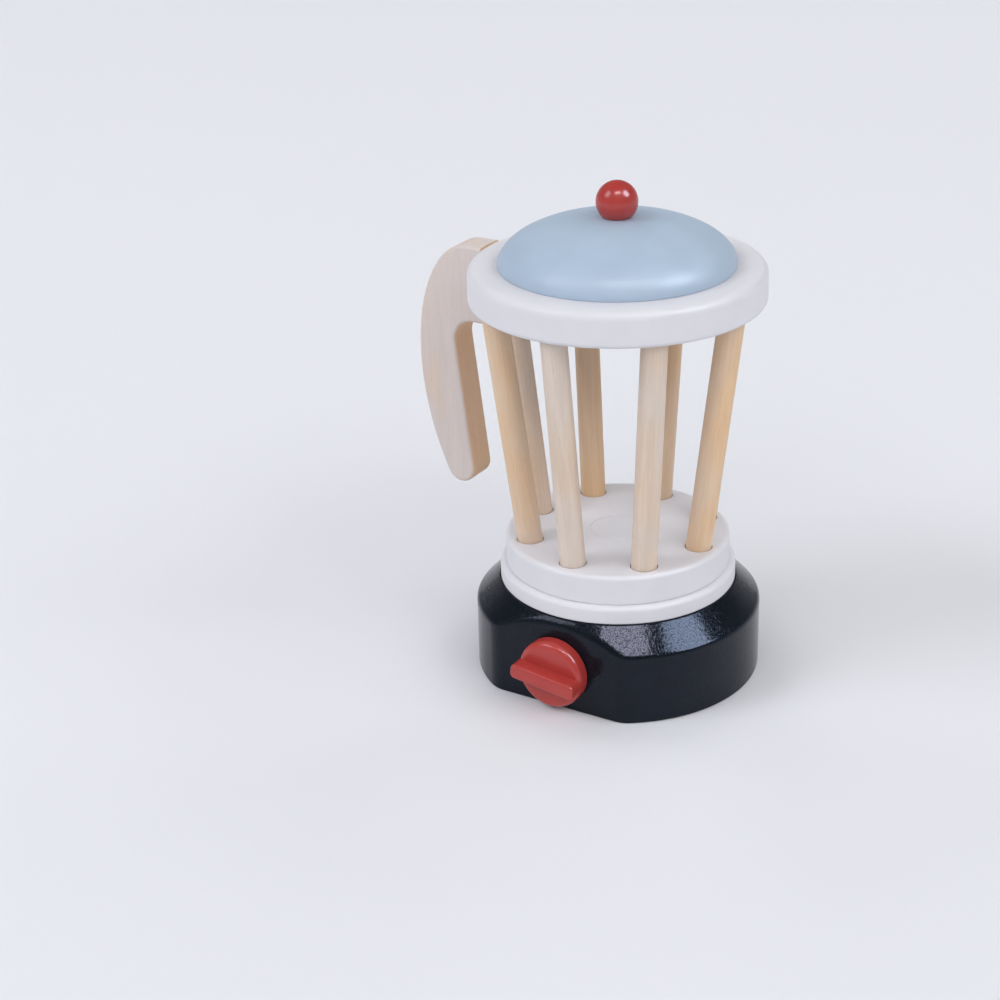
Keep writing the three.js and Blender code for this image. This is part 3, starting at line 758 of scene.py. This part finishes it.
def soft_box(name, azimuth, elevation, width, height, radiance, colour=(1, 1, 1), gloss=True, even=True):
    """An area lamp at an azimuth to the camera's right and an elevation, as wide and high as its angles say.

    One without gloss only lights the toy evenly, and one without even light is only seen in the gloss."""
    a, e = math.radians(CAMERA_TURN + azimuth), math.radians(elevation)
    towards = Vector((math.sin(a) * math.cos(e), -math.cos(a) * math.cos(e), math.sin(e)))
    data = bpy.data.lights.new(name, "AREA")
    data.shape = "RECTANGLE"
    data.size = 2 * LAMP_DISTANCE * math.tan(math.radians(width / 2))
    data.size_y = 2 * LAMP_DISTANCE * math.tan(math.radians(height / 2))
    data.energy = radiance * math.pi * data.size * data.size_y
    data.color = colour
    lamp = bpy.data.objects.new(name, data)
    lamp.location = towards * LAMP_DISTANCE + TOY_MIDDLE
    lamp.rotation_euler = towards.to_track_quat("Z", "Y").to_euler()
    lamp.visible_glossy = gloss
    lamp.visible_diffuse = even
    bpy.context.scene.collection.objects.link(lamp)


soft_box("left_box", -71, 42, 24, 26, 4.7, (0.94, 0.96, 1.02))
soft_box("front_glint", 8, 63, 29, 10, 14.6, (1.0, 0.955, 1.03), even=False)
soft_box("right_glint", 73, 43, 25, 27, 13.0, (0.80, 0.95, 1.15), even=False)
for name, azimuth, width, radiance in (
    ("front", 4, 60, 2.3), ("left", -62, 46, 1.4), ("right", 62, 46, 3.0),
    ("back_left", -142, 50, 1.8), ("back_right", 142, 50, 1.9),
):
    soft_box(name + "_fill", azimuth, FILL_ELEVATION, width, FILL_HEIGHT, radiance, gloss=False)


# World, brighter near the horizon than above

world = bpy.data.worlds.new("studio")
bpy.context.scene.world = world
world.use_nodes = True
tree = world.node_tree
direction = tree.nodes.new("ShaderNodeTexCoord").outputs["Generated"]
upwards = tree.nodes.new("ShaderNodeSeparateXYZ")
tree.links.new(direction, upwards.inputs["Vector"])
ramp = tree.nodes.new("ShaderNodeMapRange")
ramp.interpolation_type = "SMOOTHSTEP"
for key, value in (("From Min", 0.05), ("From Max", 0.5), ("To Min", 0.45), ("To Max", 0.09)):
    ramp.inputs[key].default_value = value
tree.links.new(upwards.outputs["Z"], ramp.inputs["Value"])
tree.nodes["Background"].inputs["Color"].default_value = linear(240, 243, 250)
tree.links.new(ramp.outputs["Result"], tree.nodes["Background"].inputs["Strength"])

bpy.context.scene.view_settings.view_transform = "Standard"


# Camera

def aim_camera(spot, yaw, pitch, roll, lens):
    """A camera that looks along an azimuth from +Y towards +X, down by the pitch, and rolled."""
    yaw, pitch, roll = (math.radians(v) for v in (yaw, pitch, roll))
    ahead = Vector((math.sin(yaw) * math.cos(pitch), math.cos(yaw) * math.cos(pitch), -math.sin(pitch)))
    right = Vector((math.cos(yaw), -math.sin(yaw), 0))
    up = right.cross(ahead)
    right, up = right * math.cos(roll) + up * math.sin(roll), up * math.cos(roll) - right * math.sin(roll)
    data = bpy.data.cameras.new("camera")
    data.lens, data.sensor_width = lens, 36
    camera = bpy.data.objects.new("camera", data)
    camera.matrix_world = Matrix((
        (right.x, up.x, -ahead.x, spot[0]),
        (right.y, up.y, -ahead.y, spot[1]),
        (right.z, up.z, -ahead.z, spot[2]),
        (0, 0, 0, 1),
    ))
    bpy.context.scene.collection.objects.link(camera)
    bpy.context.scene.camera = camera


aim_camera((0.39144, -0.71202, 0.44647), yaw=-32.385, pitch=24.506, roll=-1.614, lens=74.31)
